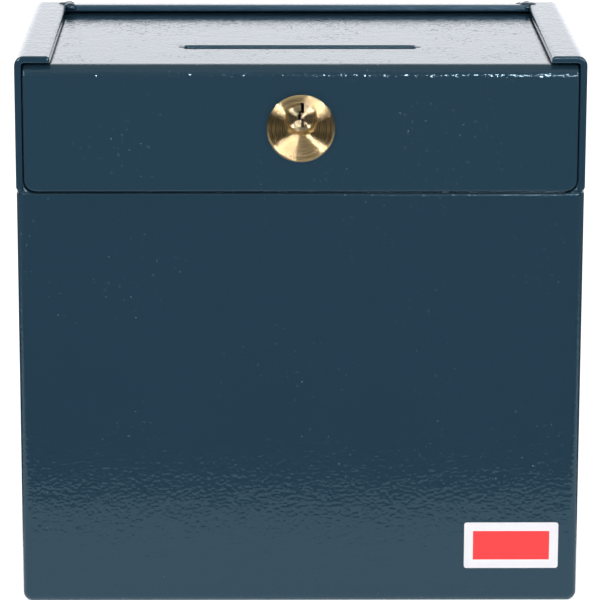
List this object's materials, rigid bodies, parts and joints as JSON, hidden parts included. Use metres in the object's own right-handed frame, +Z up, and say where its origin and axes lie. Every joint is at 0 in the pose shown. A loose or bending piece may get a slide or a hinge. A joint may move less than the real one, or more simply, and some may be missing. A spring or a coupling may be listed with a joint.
{
  "type": "surface-mounted deposit safe",
  "caption": "Small wall-mounted steel box safe whose folded lid slides out forwards, with a long deposit slot in the lid and a brass cylinder lock at the front",
  "frame": {"origin": "middle of the whole part in X and Y, lock head included, at the height of the underside", "axes": "+Z up, the front with the lock faces -Y, the back that lies on the wall faces +Y"},
  "size_m": [0.2, 0.1216, 0.2008],
  "materials": {
    "box_paint": "hammered blue-grey paint, semi-gloss",
    "lid_paint": "hammered blue-grey paint, semi-gloss",
    "lock_brass": "turned brass with fine concentric marks",
    "zinc_steel": "bright zinc plate",
    "bare_steel": "plain steel, lightly oiled"
  },
  "bodies": {
    "box": {"body_shell": "box_paint", "back_plate": "box_paint", "corner_welds": "box_paint", "left_guide_rail": "box_paint", "right_guide_rail": "box_paint", "rear_ledge": "box_paint", "joint_guard": "box_paint", "strike_bracket": "box_paint"},
    "lid": {"lid": "lid_paint", "slot_baffle": "lid_paint", "lock_cylinder": "lock_brass", "cylinder_nut": "lock_brass", "lock_case": "zinc_steel", "bolt_keeper": "zinc_steel", "lock_studs": "zinc_steel", "lock_nuts": "zinc_steel", "driver_pins": "lock_brass", "pin_springs": "bare_steel", "spring_cover": "lock_brass", "detent_spring": "bare_steel"},
    "plug": {"lock_plug": "lock_brass", "key_pins": "lock_brass", "drive_cam": "bare_steel", "cam_screw": "zinc_steel"},
    "bolt": {"lock_bolt": "bare_steel"}
  },
  "joints": [
    {"name": "lid_slide", "type": "slide", "parent": "box", "child": "lid", "axis": [0, -1, 0], "range_m": [0, 0.12]},
    {"name": "lock_turn", "type": "hinge", "parent": "lid", "child": "plug", "pos_m": [0, -0.05925, 0.1781], "axis": [0, 1, 0], "range_deg": [0, 360]},
    {"name": "bolt_throw", "type": "slide", "parent": "lid", "child": "bolt", "axis": [0, 0, -1], "range_m": [0, 0.011]}
  ],
  "couplings": [
    {"joint": "bolt_throw", "follows": "lock_turn", "m_per_rad": 0.0017507}
  ]
}
